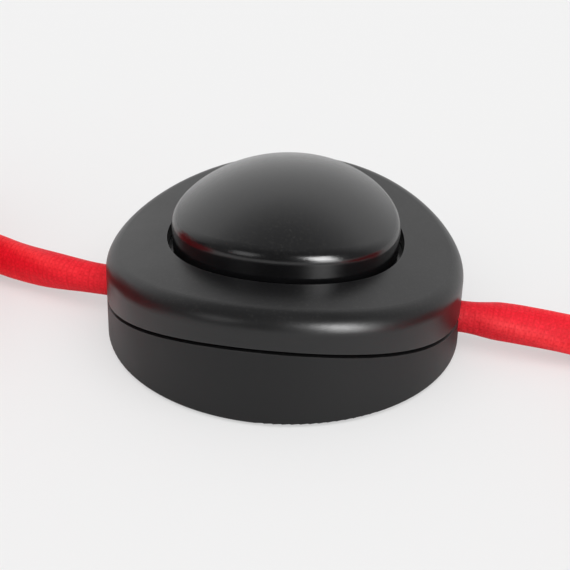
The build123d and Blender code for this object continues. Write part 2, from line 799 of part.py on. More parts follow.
write("base_shell", make_base_shell())
write("top_cover", make_top_cover())
write("foot_button", make_foot_button())
write("plunger", make_plunger())
write("return_spring", make_return_spring())
write("switch_housing", make_switch_housing())
write("housing_lid", make_housing_lid())
write("ratchet_rotor", make_ratchet_rotor())
write("contact_bridge", make_contact_bridge())
write("line_in_contact", make_line_contact(-1))
write("line_out_contact", make_line_contact(1))
write("line_in_terminal", make_line_terminal(-1))
write("line_out_terminal", make_line_terminal(1))
write("neutral_terminal", make_through_terminal(-1))
write("earth_terminal", make_through_terminal(1))
write("terminal_screws", make_terminal_screws(line_spots + neutral_spots + earth_spots))
write("input_cord_clamp", make_cord_clamp(-1))
write("output_cord_clamp", make_cord_clamp(1))
write("clamp_screws", make_clamp_screws())
write("cover_screws", make_cover_screws())
write("housing_screws", make_housing_screws())
write("rubber_pads", make_rubber_pads())
write("input_brown_core", line_core(-1))
write("output_brown_core", line_core(1))
write("input_blue_core", through_core("input_blue_core", -1, -1))
write("output_blue_core", through_core("output_blue_core", 1, -1))
write("input_earth_core", through_core("input_earth_core", -1, 1))
write("output_earth_core", through_core("output_earth_core", 1, 1))
write("input_cord", flex_with_end("input_cord", -1, input_route) - input_coil)
write("output_cord", flex_with_end("output_cord", 1, output_route) - output_coil)
write("input_coil", input_coil)
write("output_coil", output_coil)
write("input_tail", input_tail - input_coil)
write("output_tail", output_tail)
write("plug_body", make_plug_body())
write("plug_pins", make_plug_pins())
write("plug_earth_clips", make_plug_earth_clips())
write("plug_screw", make_plug_screw())
write("lamp_brown_core", lamp_ends[0][0])
write("lamp_blue_core", lamp_ends[1][0])
write("lamp_earth_core", lamp_ends[2][0])
write("lamp_ferrules", [ends[1] for ends in lamp_ends])
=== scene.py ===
"""Dresses the foot switch: moulded finishes, metal, the braided flex in its coils, and a studio."""

import math

import bpy
import numpy as np
from bpy.props import FloatProperty, FloatVectorProperty, IntProperty, PointerProperty
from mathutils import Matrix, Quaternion, Vector


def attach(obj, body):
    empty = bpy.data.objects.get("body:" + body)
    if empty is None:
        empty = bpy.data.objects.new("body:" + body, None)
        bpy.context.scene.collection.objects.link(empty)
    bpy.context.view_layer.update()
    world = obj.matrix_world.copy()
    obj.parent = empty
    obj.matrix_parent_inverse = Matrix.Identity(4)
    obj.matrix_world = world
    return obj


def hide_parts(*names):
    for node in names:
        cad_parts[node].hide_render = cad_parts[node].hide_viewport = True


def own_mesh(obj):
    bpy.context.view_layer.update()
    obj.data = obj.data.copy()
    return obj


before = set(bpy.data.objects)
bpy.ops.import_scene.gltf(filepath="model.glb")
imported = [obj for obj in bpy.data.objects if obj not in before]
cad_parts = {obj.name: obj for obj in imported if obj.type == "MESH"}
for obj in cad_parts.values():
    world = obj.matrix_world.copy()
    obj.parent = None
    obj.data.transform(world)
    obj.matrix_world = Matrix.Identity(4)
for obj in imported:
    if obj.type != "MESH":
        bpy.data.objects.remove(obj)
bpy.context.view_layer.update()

bl_info = {
    "name": "Foot Switch Dressing",
    "version": (1, 0, 0),
    "blender": (4, 5, 0),
    "location": "View3D > Sidebar > Foot Switch",
    "description": "Finishes, braided flex and studio for an in-line foot switch",
    "category": "Object",
}

MM = 0.001

# Routes of the free flex in millimetres, from inside the casing to where each coil begins
INPUT_ROUTE = [(-23.2, 0, 6.0), (-33.2, 0, 6.0), (-44, 3.0, 5.4), (-57, 7.9, 4.7),
               (-69, 14.2, 3.9), (-80.8, 22.8, 3.5)]
OUTPUT_ROUTE = [(23.2, 0, 6.0), (33.2, 0, 6.0), (44, -0.7, 5.4), (57, -2.0, 4.7),
                (66.2, 0.0, 3.9), (75.1, 4.3, 3.5)]

# From the top turn of the input coil to the plug, and the lamp end of the output flex
INPUT_TAIL = [(-64.1, -2.1, 24.5), (-70.0, 12.0, 26.0), (-80.8, 22.8, 29.7), (-94.9, 28.7, 34.6),
              (-108.2, 28.7, 38.9), (-118.5, 24.4, 41.9), (-126.3, 16.6, 44.1),
              (-130.6, 6.3, 44.9), (-130.6, 0.7, 44.9)]
OUTPUT_TAIL = [(139.8, -15.5, 17.5)]

# Coils in millimetres: middle, entry angle, first radius, corners of the spline, way round, the
# turns before the first change and between changes, and the changes, each a step across to the
# next lane and a step up to the next layer
INPUT_COIL = {"centre": (-102.6, -9.8), "entry_deg": 67.5, "radius": 38.5, "corners": 93,
              "way": 1, "first_change": 0.8, "change_every": 0.8,
              "changes": [(-7, 0), (0, 7), (7, 0), (0, 7), (-7, 0), (0, 7), (7, 0)]}
OUTPUT_COIL = {"centre": (104.8, -15.5), "entry_deg": 135.0, "radius": 35.0, "corners": 38,
               "way": -1, "first_change": 0.8, "change_every": 1.0, "changes": [(0, 7), (0, 7)]}

# Height of the lowest turn's middle in millimetres, the share of a turn that a change takes, and
# the spline's corners in one turn
COIL_FLOOR_Z = 3.5
CHANGE_SPAN = 0.22
POINTS_PER_TURN = 16

# The two flexes. Each swells to its full size over the given millimetres past the casing's mouth
FLEXES = {
    "input": {"route": INPUT_ROUTE, "coil": INPUT_COIL, "tail": INPUT_TAIL, "swell": 17.0,
              "end": "plug",
              "pieces": ["plug_body", "plug_pins", "plug_earth_clips", "plug_screw"]},
    "output": {"route": OUTPUT_ROUTE, "coil": OUTPUT_COIL, "tail": OUTPUT_TAIL, "swell": 7.0,
               "end": "bare",
               "pieces": ["lamp_brown_core", "lamp_blue_core", "lamp_earth_core",
                          "lamp_ferrules"]},
}

# Millimetres of flex that the casing hides, and the distance to each side at which coils begin
HIDDEN_END = 9.8
COIL_REACH = 80.0

# Points on the smooth line for each corner of a route
LINE_STEPS = 24

# The cores under the braid: their number, how much their crests are sharpened, and the slow
# wander of their twist, as waves of (radians, radians per metre, start)
CORE_COUNT = 3
CREST_SHARPNESS = 0.25
TWIST_WANDER = ((0.35, 61.0, 0.0), (0.2, 143.0, 1.0))

# Uneven thickness of the braid, as waves of (share of the radius, radians per metre, start)
BRAID_PULL = (0.012, 410.0, 0.0)
BRAID_DRIFT = (0.010, 187.0, 2.0)

# Height in metres under which no part of the flex goes
FLEX_LOWEST = 0.00002

# Weave: yarns round the flex and their step along it, and the width of the threads that lie
# across and their number round the flex, with lengths in metres
BRAID_WEAVE = {"Yarns_around": 26.0, "Yarn_step": 0.00105, "Thread_width": 0.0005,
               "Threads_across": 12.0}

# Yarns: the power that rounds their crowns, the height of one that passes under another, their
# share of the relief beside the threads across, and the number that scrambles their tones
YARN_ROUNDNESS = 0.6
YARN_UNDER = 0.62
YARN_SHARE = 0.45
TONE_SCRAMBLE = 43.7

# Fibres and slow clouds of tone in the braid, as noise per metre, and how much each counts
FIBRE_SCALE = 5200.0
FIBRE_RELIEF = 0.35
CLOUD_SCALE = 160.0
TONE_SHARE = 0.30

# Moulded plastic: how pale its edges are painted, as a slight painted highlight, how polished they
# are, and the dust on it
EDGE_HIGHLIGHT_PALENESS = 0.4
EDGE_POLISH = 0.12
DUST_AMOUNT = 0.04
DUST_COLOUR = (0.35, 0.34, 0.32)

# Camera: the point that it looks at, the sensor's width in millimetres and the nearest distance
CAMERA_TARGET = (0, 0, 0.0104)
SENSOR_WIDTH = 36.0
CLIP_START = 0.01

# Floor: half its side in metres, and the share of its brightness that only the camera sees
FLOOR_REACH = 3.0
FLOOR_GLOW = 0.55

# Lamps: degrees to the right of the camera, degrees above the floor, and strength
SUNS = {"Key sun": (33, 62, 1.15), "Fill sun": (-50, 50, 0.55)}
SUN_WIDTH_DEG = 60
SOFT_BOXES = {"Right soft box": (40, 27, 3.2), "Left soft box": (-43, 27, 0.3),
              "Low soft box": (42, 8, 1.6)}
SOFT_BOX_AWAY = 0.6
SOFT_BOX_SIDE = 0.24

# World: brightness that lights surfaces, and what gloss mirrors in front of and behind the part
PLAIN_LIGHT = 0.60
GLOSS_FRONT = 0.06
GLOSS_BACK = 0.28

# Shared effects, filled by their operator
GROUPS = {}


class FlexSizes(bpy.types.PropertyGroup):
    """Sizes of the flex and its braid."""

    diameter: FloatProperty(
        name="Diameter", description="Outer diameter of the textile flex",
        default=0.007, unit="LENGTH")
    squeezed: FloatProperty(
        name="Squeezed diameter", description="Diameter inside the casing's mouth",
        default=0.0058, unit="LENGTH")
    input_length: FloatProperty(
        name="Input length", description="Length of the flex on the plug's side",
        default=1.45, unit="LENGTH")
    output_length: FloatProperty(
        name="Output length", description="Length of the flex on the lamp's side",
        default=0.58, unit="LENGTH")
    core_relief: FloatProperty(
        name="Core relief", description="How far the three cores swell the braid",
        default=0.00026, unit="LENGTH")
    core_lay: FloatProperty(
        name="Core lay", description="Length of one twist of the three cores",
        default=0.11, unit="LENGTH")
    segments: IntProperty(
        name="Segments", description="Faces round the flex", default=48)


class FinishColours(bpy.types.PropertyGroup):
    """Colours of the visible finishes."""

    casing: FloatVectorProperty(
        name="Casing", description="Black of the casing and the plug",
        default=(0.0075, 0.0075, 0.008), subtype="COLOR")
    button: FloatVectorProperty(
        name="Button", description="Black of the foot button",
        default=(0.006, 0.006, 0.0065), subtype="COLOR")
    braid: FloatVectorProperty(
        name="Braid", description="Red of the textile braid",
        default=(1.0, 0.012, 0.034), subtype="COLOR")
    # Painted shade: a darker red for the dips between the yarns
    braid_shade: FloatVectorProperty(
        name="Braid shade", description="Red between the yarns",
        default=(0.70, 0.003, 0.012), subtype="COLOR")
    # Painted highlight: a paler red for the crests of the cores, standing in for the light that the
    # ridges catch
    braid_painted_highlight: FloatVectorProperty(
        name="Braid painted highlight", description="Painted highlight along the crests of the cores",
        default=(1.0, 0.045, 0.052), subtype="COLOR")
    floor: FloatVectorProperty(
        name="Floor", description="Pale floor under the switch",
        default=(0.84, 0.84, 0.84), subtype="COLOR")


class StudioSettings(bpy.types.PropertyGroup):
    """Camera and light of the studio."""

    azimuth: FloatProperty(
        name="Azimuth", description="Side from which the camera looks",
        default=math.radians(7.52), subtype="ANGLE")
    elevation: FloatProperty(
        name="Elevation", description="Height of the camera above the floor",
        default=math.radians(29.8), subtype="ANGLE")
    distance: FloatProperty(
        name="Distance", description="From the camera to the middle of the casing",
        default=0.2579, unit="LENGTH")
    roll: FloatProperty(
        name="Roll", description="Lean of the camera about its own axis",
        default=math.radians(1.76), subtype="ANGLE")
    lens: FloatProperty(
        name="Lens", description="Focal length on a 36 mm sensor", default=88.56)
    shift_across: FloatProperty(
        name="Shift across", description="Sideways shift, as a share of the frame",
        default=0.33 / 570)
    shift_up: FloatProperty(
        name="Shift up", description="Upward shift, as a share of the frame",
        default=-7.43 / 570)
    background: FloatProperty(
        name="Background", description="Brightness of the backdrop", default=0.896)


def add_node(tree, kind, **values):
    """New shader node with its settings, and input values by name or index."""
    node = tree.nodes.new(kind)
    for key, value in values.items():
        if key == "inputs":
            for socket, number in value.items():
                node.inputs[socket].default_value = number
        else:
            setattr(node, key, value)
    return node


def maths(tree, operation, first, second=None):
    """Math node, fed by sockets or plain numbers."""
    node = tree.nodes.new("ShaderNodeMath")
    node.operation = operation
    for index, value in enumerate((first, second)):
        if value is None:
            continue
        if isinstance(value, (int, float)):
            node.inputs[index].default_value = value
        else:
            tree.links.new(value, node.inputs[index])
    return node.outputs[0]


def stretch(tree, value, low, high, to_low=0.0, to_high=1.0):
    """Map a value from one range to another, which is 0 to 1 unless given, and clamp it."""
    node = add_node(tree, "ShaderNodeMapRange")
    tree.links.new(value, node.inputs["Value"])
    for name, number in (("From Min", low), ("From Max", high), ("To Min", to_low),
                         ("To Max", to_high)):
        node.inputs[name].default_value = number
    return node.outputs["Result"]


def blend_colours(tree, factor, first, second):
    """Mix two colours, each a socket or three numbers."""
    node = add_node(tree, "ShaderNodeMix", data_type="RGBA")
    tree.links.new(factor, node.inputs["Factor"])
    for name, colour in (("A", first), ("B", second)):
        socket = next(s for s in node.inputs if s.name == name and s.type == "RGBA")
        if isinstance(colour, bpy.types.NodeSocket):
            tree.links.new(colour, socket)
        else:
            socket.default_value = (*colour, 1.0)
    return next(s for s in node.outputs if s.type == "RGBA")


def new_group(name, inputs, outputs):
    """Shader node group with float inputs and the outputs given as (name, type)."""
    group = bpy.data.node_groups.new(name, "ShaderNodeTree")
    for label, default in inputs:
        socket = group.interface.new_socket(label, in_out="INPUT", socket_type="NodeSocketFloat")
        socket.default_value = default
    for label, kind in outputs:
        group.interface.new_socket(label, in_out="OUTPUT", socket_type=kind)
    return group, group.nodes.new("NodeGroupInput"), group.nodes.new("NodeGroupOutput")


def place(tree):
    """Position in the part's own frame."""
    return add_node(tree, "ShaderNodeTexCoord").outputs["Object"]


def noise(tree, position, scale, detail=2.0, roughness=0.5):
    """Noise value; scale is a socket or a number."""
    node = add_node(tree, "ShaderNodeTexNoise", inputs={"Detail": detail, "Roughness": roughness})
    tree.links.new(position, node.inputs["Vector"])
    if isinstance(scale, (int, float)):
        node.inputs["Scale"].default_value = scale
    else:
        tree.links.new(scale, node.inputs["Scale"])
    return node.outputs["Fac"]


def grain_group():
    """Fine spark-eroded grain of a moulding, with slow waves in its gloss."""
    group, given, made = new_group(
        "Moulded grain", [("Grain size", 0.00025), ("Wave size", 0.012)],
        [("Height", "NodeSocketFloat"), ("Gloss change", "NodeSocketFloat")])
    position = place(group)
    fine = noise(group, position, maths(group, "DIVIDE", 1.0, given.outputs["Grain size"]),
                 detail=3.0, roughness=0.6)
    wave = noise(group, position, maths(group, "DIVIDE", 1.0, given.outputs["Wave size"]),
                 detail=4.0, roughness=0.6)
    group.links.new(fine, made.inputs["Height"])
    group.links.new(stretch(group, wave, 0.3, 0.7), made.inputs["Gloss change"])
    return group


def rub_group():
    """Mask of the edges in broken patches: edges that hands and shoes rub, and a painted edge
    highlight.
    """
    group, given, made = new_group(
        "Edge rub", [("Reach", 0.0004), ("Amount", 1.0)], [("Mask", "NodeSocketFloat")])
    soft = add_node(group, "ShaderNodeBevel", samples=4)
    group.links.new(given.outputs["Reach"], soft.inputs["Radius"])
    plain = add_node(group, "ShaderNodeNewGeometry")
    dot = add_node(group, "ShaderNodeVectorMath", operation="DOT_PRODUCT")
    group.links.new(soft.outputs["Normal"], dot.inputs[0])
    group.links.new(plain.outputs["Normal"], dot.inputs[1])
    edge = stretch(group, dot.outputs["Value"], 0.80, 0.995, to_low=1.0, to_high=0.0)
    smudges = noise(group, place(group), scale=260.0, detail=4.0, roughness=0.6)
    patches = stretch(group, smudges, 0.35, 0.6, to_low=0.15)
    mask = maths(group, "MULTIPLY", maths(group, "MULTIPLY", edge, patches),
                 given.outputs["Amount"])
    group.links.new(mask, made.inputs["Mask"])
    return group


def dust_group():
    """Faint dust that settles on faces that look up."""
    group, given, made = new_group(
        "Settled dust", [("Amount", 0.1), ("Speck size", 0.0006)], [("Mask", "NodeSocketFloat")])
    normal = add_node(group, "ShaderNodeSeparateXYZ")
    group.links.new(add_node(group, "ShaderNodeNewGeometry").outputs["Normal"], normal.inputs[0])
    upward = stretch(group, normal.outputs["Z"], 0.2, 0.95)
    specks = noise(group, place(group),
                   maths(group, "DIVIDE", 1.0, given.outputs["Speck size"]))
    mask = maths(group, "MULTIPLY", upward, stretch(group, specks, 0.55, 0.8))
    group.links.new(maths(group, "MULTIPLY", mask, given.outputs["Amount"]), made.inputs["Mask"])
    return group


def braid_group():
    """Two sets of yarns that cross over and under round the flex, from its own map."""
    group, given, made = new_group(
        "Textile braid",
        [(label.replace("_", " "), value) for label, value in BRAID_WEAVE.items()],
        [("Height", "NodeSocketFloat"), ("Crown", "NodeSocketFloat"),
         ("Strand tone", "NodeSocketFloat")])
    spot = add_node(group, "ShaderNodeSeparateXYZ")
    flex_map = add_node(group, "ShaderNodeUVMap", uv_map="Flex")
    group.links.new(flex_map.outputs["UV"], spot.inputs[0])
    along = maths(group, "DIVIDE", spot.outputs["X"], given.outputs["Yarn step"])
    around = maths(group, "MULTIPLY", spot.outputs["Y"], given.outputs["Yarns around"])
    right = maths(group, "ADD", around, along)
    left = maths(group, "SUBTRACT", around, along)
    heights, tones = [], []
    for this, other in ((right, left), (left, right)):
        wave = maths(group, "SINE", maths(group, "MULTIPLY", this, math.pi))
        crown = maths(group, "POWER", maths(group, "ABSOLUTE", wave), YARN_ROUNDNESS)
        lift = maths(group, "SINE", maths(group, "MULTIPLY", maths(
            group, "ADD", other, maths(group, "FLOOR", this)), math.pi))
        heights.append(maths(group, "MULTIPLY", crown,
                             stretch(group, lift, -0.7, 0.7, to_low=YARN_UNDER)))
        tones.append(maths(group, "FRACT", maths(group, "MULTIPLY", maths(
            group, "SINE", maths(group, "FLOOR", this)), TONE_SCRAMBLE)))
    over = maths(group, "GREATER_THAN", heights[0], heights[1])
    woven = maths(group, "MAXIMUM", heights[0], heights[1])
    slots = add_node(group, "ShaderNodeCombineXYZ")
    group.links.new(maths(group, "DIVIDE", spot.outputs["X"], given.outputs["Thread width"]),
                    slots.inputs["X"])
    group.links.new(maths(group, "MULTIPLY", spot.outputs["Y"], given.outputs["Threads across"]),
                    slots.inputs["Y"])
    threads = noise(group, slots.outputs[0], scale=1.0, detail=3.0, roughness=0.65)
    height = maths(group, "ADD", maths(group, "MULTIPLY", woven, YARN_SHARE),
                   maths(group, "MULTIPLY", stretch(group, threads, 0.3, 0.7), 1.0 - YARN_SHARE))
    tone = maths(group, "ADD", maths(group, "MULTIPLY", over, tones[0]), maths(
        group, "MULTIPLY", maths(group, "SUBTRACT", 1.0, over), tones[1]))
    group.links.new(height, made.inputs["Height"])
    group.links.new(stretch(group, height, 0.30, 0.85), made.inputs["Crown"])
    group.links.new(tone, made.inputs["Strand tone"])
    return group


def brushed_group():
    """Fine turning and drawing lines on metal."""
    group, given, made = new_group(
        "Drawn metal", [("Line size", 0.0004)],
        [("Height", "NodeSocketFloat"), ("Tarnish", "NodeSocketFloat")])
    position = place(group)
    squash = add_node(group, "ShaderNodeVectorMath", operation="MULTIPLY")
    squash.inputs[1].default_value = (1.0, 1.0, 0.08)
    group.links.new(position, squash.inputs[0])
    lines = noise(group, squash.outputs[0],
                  maths(group, "DIVIDE", 1.0, given.outputs["Line size"]), detail=3.0)
    group.links.new(lines, made.inputs["Height"])
    cloud = noise(group, position, scale=300.0, detail=4.0, roughness=0.6)
    group.links.new(stretch(group, cloud, 0.4, 0.75), made.inputs["Tarnish"])
    return group


def use_group(tree, group, **values):
    """Place a shared group in a material with its own values."""
    node = tree.nodes.new("ShaderNodeGroup")
    node.node_tree = group
    for name, number in values.items():
        node.inputs[name.replace("_", " ")].default_value = number
    return node


def new_material(name):
    """Material, its node tree and its Principled shader, still at Blender's own values."""
    material = bpy.data.materials.new(name)
    material.use_nodes = True
    return material, material.node_tree, material.node_tree.nodes["Principled BSDF"]


def bump(tree, shader, height, distance, strength):
    """Raise a surface by a height value."""
    node = add_node(tree, "ShaderNodeBump", inputs={"Strength": strength, "Distance": distance})
    tree.links.new(height, node.inputs["Height"])
    tree.links.new(node.outputs["Normal"], shader.inputs["Normal"])


def lighter(colour, share):
    """A colour moved towards white."""
    return tuple(c + (1.0 - c) * share for c in colour)


def moulded_plastic(name, colour, roughness, grain, shine=0.5):
    """Moulded plastic: fine grain, slow changes of gloss, edges polished and painted paler as a
    slight highlight, and a little dust.
    """
    material, tree, shader = new_material(name)
    texture = use_group(tree, GROUPS["grain"], Grain_size=grain, Wave_size=0.014)
    edges = use_group(tree, GROUPS["rub"], Reach=0.00035, Amount=1.0)
    settled = use_group(tree, GROUPS["dust"], Amount=DUST_AMOUNT, Speck_size=0.0005)
    # Painted highlight: the edges are mixed a little towards white
    rubbed = blend_colours(tree, maths(tree, "MULTIPLY", edges.outputs["Mask"], EDGE_HIGHLIGHT_PALENESS),
                           colour, lighter(colour, 0.06))
    dusty = blend_colours(tree, settled.outputs["Mask"], rubbed, DUST_COLOUR)
    tree.links.new(dusty, shader.inputs["Base Color"])
    rough = stretch(tree, texture.outputs["Gloss change"], 0.0, 1.0,
                    to_low=roughness - 0.03, to_high=roughness + 0.04)
    rough = maths(tree, "SUBTRACT", rough,
                  maths(tree, "MULTIPLY", edges.outputs["Mask"], EDGE_POLISH))
    tree.links.new(rough, shader.inputs["Roughness"])
    shader.inputs["Specular IOR Level"].default_value = shine
    bump(tree, shader, texture.outputs["Height"], distance=0.00002, strength=0.5)
    return material


def bright_metal(name, colour, roughness, tarnish, line=0.0004):
    """Metal with drawing lines, a little tarnish and bright edges."""
    material, tree, shader = new_material(name)
    texture = use_group(tree, GROUPS["metal"], Line_size=line)
    edges = use_group(tree, GROUPS["rub"], Reach=0.0002, Amount=1.0)
    aged = blend_colours(tree, maths(tree, "MULTIPLY", texture.outputs["Tarnish"], 0.6),
                         colour, tarnish)
    worn = blend_colours(tree, edges.outputs["Mask"], aged, lighter(colour, 0.25))
    tree.links.new(worn, shader.inputs["Base Color"])
    shader.inputs["Metallic"].default_value = 1.0
    rough = stretch(tree, texture.outputs["Tarnish"], 0.0, 1.0,
                    to_low=roughness, to_high=roughness + 0.15)
    tree.links.new(rough, shader.inputs["Roughness"])
    bump(tree, shader, texture.outputs["Height"], distance=0.000008, strength=0.4)
    return material


def pad_rubber(name):
    """Dull black rubber with a pitted skin and dust."""
    material, tree, shader = new_material(name)
    texture = use_group(tree, GROUPS["grain"], Grain_size=0.0004, Wave_size=0.006)
    settled = use_group(tree, GROUPS["dust"], Amount=0.3, Speck_size=0.0004)
    tone = blend_colours(tree, texture.outputs["Gloss change"], (0.018, 0.018, 0.018),
                         (0.034, 0.033, 0.032))
    tree.links.new(blend_colours(tree, settled.outputs["Mask"], tone, (0.3, 0.29, 0.27)),
                   shader.inputs["Base Color"])
    rough = stretch(tree, texture.outputs["Gloss change"], 0.0, 1.0, to_low=0.75, to_high=0.92)
    tree.links.new(rough, shader.inputs["Roughness"])
    bump(tree, shader, texture.outputs["Height"], distance=0.00006, strength=0.7)
    return material


def core_insulation(name, colour, stripe=None):
    """Extruded insulation, with a lengthwise stripe where it has a second colour."""
    material, tree, shader = new_material(name)
    texture = use_group(tree, GROUPS["grain"], Grain_size=0.0003, Wave_size=0.005)
    tone = blend_colours(tree, texture.outputs["Gloss change"], colour, lighter(colour, 0.08))
    if stripe:
        normal = add_node(tree, "ShaderNodeSeparateXYZ")
        tree.links.new(add_node(tree, "ShaderNodeNewGeometry").outputs["Normal"], normal.inputs[0])
        band = stretch(tree, normal.outputs["Z"], 0.55, 0.62)
        tone = blend_colours(tree, band, tone, stripe)
    tree.links.new(tone, shader.inputs["Base Color"])
    rough = stretch(tree, texture.outputs["Gloss change"], 0.0, 1.0, to_low=0.32, to_high=0.42)
    tree.links.new(rough, shader.inputs["Roughness"])
    bump(tree, shader, texture.outputs["Height"], distance=0.00001, strength=0.4)
    return material


def red_braid(name, crown, valley, bright):
    """Textile braid: crossing yarns, fibres, slow changes of tone, painted shade between the yarns,
    and a painted highlight along the crests of the cores.
    """
    material, tree, shader = new_material(name)
    weave = use_group(tree, GROUPS["braid"], **BRAID_WEAVE)
    position = place(tree)
    fibres = noise(tree, position, scale=FIBRE_SCALE, detail=3.0, roughness=0.6)
    cloud = noise(tree, position, scale=CLOUD_SCALE, detail=3.0)
    # Painted shade: the red is darker in the dips between the yarns and full on their crowns
    base = blend_colours(tree, weave.outputs["Crown"], valley, crown)
    tone = maths(tree, "MULTIPLY", maths(tree, "ADD", weave.outputs["Strand tone"], cloud),
                 TONE_SHARE)
    shaded = blend_colours(tree, tone, base, valley)
    # Painted highlight: where a core stands out under the braid, the crowns of the yarns are mixed
    # towards a paler red, for the light that the ridges catch
    cores = add_node(tree, "ShaderNodeAttribute", attribute_name="Crest")
    swell = maths(tree, "MULTIPLY",
                  stretch(tree, cores.outputs["Fac"], -0.4, 1.1, to_high=0.8),
                  stretch(tree, weave.outputs["Crown"], 0.0, 1.0, to_low=0.25))
    tree.links.new(blend_colours(tree, swell, shaded, bright), shader.inputs["Base Color"])
    rough = stretch(tree, fibres, 0.3, 0.7, to_low=0.50, to_high=0.64)
    tree.links.new(rough, shader.inputs["Roughness"])
    shader.inputs["Sheen Weight"].default_value = 0.08
    shader.inputs["Sheen Roughness"].default_value = 0.4
    shader.inputs["Sheen Tint"].default_value = (1.0, 0.25, 0.28, 1.0)
    shader.inputs["Specular IOR Level"].default_value = 0.22
    height = maths(tree, "ADD", weave.outputs["Height"],
                   maths(tree, "MULTIPLY", fibres, FIBRE_RELIEF))
    bump(tree, shader, height, distance=0.00012, strength=0.9)
    return material


def dress(nodes, material):
    """Give CAD nodes a finish."""
    for node in nodes:
        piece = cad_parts[node]
        piece.data.materials.clear()
        piece.data.materials.append(material)


def spline_line(name, points):
    """Smooth line through the route: the points of its spline, in metres."""
    curve = bpy.data.curves.new(name, "CURVE")
    curve.dimensions = "3D"
    curve.resolution_u = LINE_STEPS
    spline = curve.splines.new("NURBS")
    spline.points.add(len(points) - 1)
    for point, (x, y, z) in zip(spline.points, points):
        point.co = (x * MM, y * MM, z * MM, 1.0)
    spline.order_u = 3
    spline.use_endpoint_u = True
    holder = bpy.data.objects.new(name, curve)
    bpy.context.scene.collection.objects.link(holder)
    bpy.context.view_layer.update()
    mesh = bpy.data.meshes.new_from_object(holder)
    line = np.array([v.co[:] for v in mesh.vertices])
    bpy.data.objects.remove(holder)
    bpy.data.meshes.remove(mesh)
    bpy.data.curves.remove(curve)
    return line


def ease(share):
    """Smooth step from 0 to 1, for a number or an array."""
    share = np.clip(share, 0.0, 1.0)
    return share * share * (3 - 2 * share)


def coil_points(coil):
    """Corners of the turns, which change lane or layer in short slanting stretches."""
    points = []
    outset = 1.0 / math.cos(math.pi / POINTS_PER_TURN)
    for corner in range(coil["corners"]):
        turn = (corner + 0.5) / POINTS_PER_TURN
        radius, z = coil["radius"], COIL_FLOOR_Z
        for number, (across, rise) in enumerate(coil["changes"]):
            start = coil["first_change"] + number * coil["change_every"]
            share = ease((turn - start) / CHANGE_SPAN)
            radius += across * share
            z += rise * share
        angle = math.radians(coil["entry_deg"]) + coil["way"] * 2 * math.pi * turn
        points.append((coil["centre"][0] + radius * outset * math.cos(angle),
                       coil["centre"][1] + radius * outset * math.sin(angle), z))
    return points


def thin_out(line, reach):
    """Every point near the casing, every second one in the coil, and the last one."""
    near = int(np.argmax(np.abs(line[:, 0]) > reach))
    coiled = line[near:]
    kept = coiled[::2] if len(coiled) % 2 else np.concatenate([coiled[::2], coiled[-1:]])
    return np.concatenate([line[:near], kept])


def frames_along(line):
    """Directions across a line that don't twist about it."""
    ahead = np.gradient(line, axis=0)
    ahead /= np.linalg.norm(ahead, axis=1)[:, None]
    up = np.array([0.0, 0.0, 1.0])
    sides, tops = [], []
    for direction in ahead:
        up = up - direction * up.dot(direction)
        up /= np.linalg.norm(up)
        tops.append(up)
        sides.append(np.cross(direction, up))
    return np.array(sides), np.array(tops)


def wave_along(along, size, rate, start):
    """Slow wave along the flex."""
    return size * np.sin(along * rate + start)


def flex_rings(line, along, sizes, swell):
    """Corners of the rings round a line, and how high each stands on the crest of a core."""
    sides, tops = frames_along(line)
    angles = np.arange(sizes.segments) * 2 * math.pi / sizes.segments + math.pi
    share = ease((along - HIDDEN_END * MM) / (swell * MM))
    radius = sizes.squeezed / 2 + (sizes.diameter - sizes.squeezed) / 2 * share
    twist = along * 2 * math.pi / sizes.core_lay
    wander = sum(wave_along(along, *wave) for wave in TWIST_WANDER)
    phase = CORE_COUNT * (angles[None, :] - (twist + wander)[:, None])
    lobes = np.cos(phase) + CREST_SHARPNESS * np.cos(2 * phase)
    uneven = 1.0 + wave_along(along, *BRAID_PULL) * share + wave_along(along, *BRAID_DRIFT)
    reach = radius[:, None] * uneven[:, None] + lobes * sizes.core_relief * share[:, None]
    rings = (line[:, None, :] + reach[:, :, None] * (
        np.cos(angles)[None, :, None] * tops[:, None, :]
        + np.sin(angles)[None, :, None] * sides[:, None, :]))
    corners = rings.reshape(-1, 3)
    corners[:, 2] = np.maximum(corners[:, 2], FLEX_LOWEST)
    return corners, lobes * share[:, None]


def tube_faces(along, count):
    """Faces of a closed tube with its seam underneath, and their places in the Flex map."""
    faces, places = [], []
    for ring in range(len(along) - 1):
        here, there = ring * count, (ring + 1) * count
        u0, u1 = along[ring], along[ring + 1]
        for index in range(count):
            after = (index + 1) % count
            faces.append((here + index, there + index, there + after, here + after))
            v0, v1 = index / count, (index + 1) / count
            places += [(u0, v0), (u1, v0), (u1, v1), (u0, v1)]
    last = (len(along) - 1) * count
    faces.append(tuple(range(count)))
    faces.append(tuple(last + index for index in reversed(range(count))))
    places += [(along[0], 0.5)] * count + [(along[-1], 0.5)] * count
    return faces, places


def flex_tube(name, line, sizes, swell):
    """Tube of the flex: squeezed in its mouth, swelling after it, cores just showing."""
    steps = np.linalg.norm(np.diff(line, axis=0), axis=1)
    along = np.concatenate([[0.0], np.cumsum(steps)])
    corners, crests = flex_rings(line, along, sizes, swell)
    faces, places = tube_faces(along, sizes.segments)
    mesh = bpy.data.meshes.new(name)
    mesh.from_pydata(corners.tolist(), [], faces)
    mesh.uv_layers.new(name="Flex")
    mesh.uv_layers["Flex"].data.foreach_set("uv", np.array(places, np.float32).ravel())
    mesh.polygons.foreach_set("use_smooth", [True] * (len(faces) - 2) + [False] * 2)
    crest = mesh.attributes.new("Crest", "FLOAT", "POINT")
    crest.data.foreach_set("value", crests.astype(np.float32).ravel())
    mesh.update()
    piece = bpy.data.objects.new(name, mesh)
    bpy.context.scene.collection.objects.link(piece)
    return piece, float(along[-1])


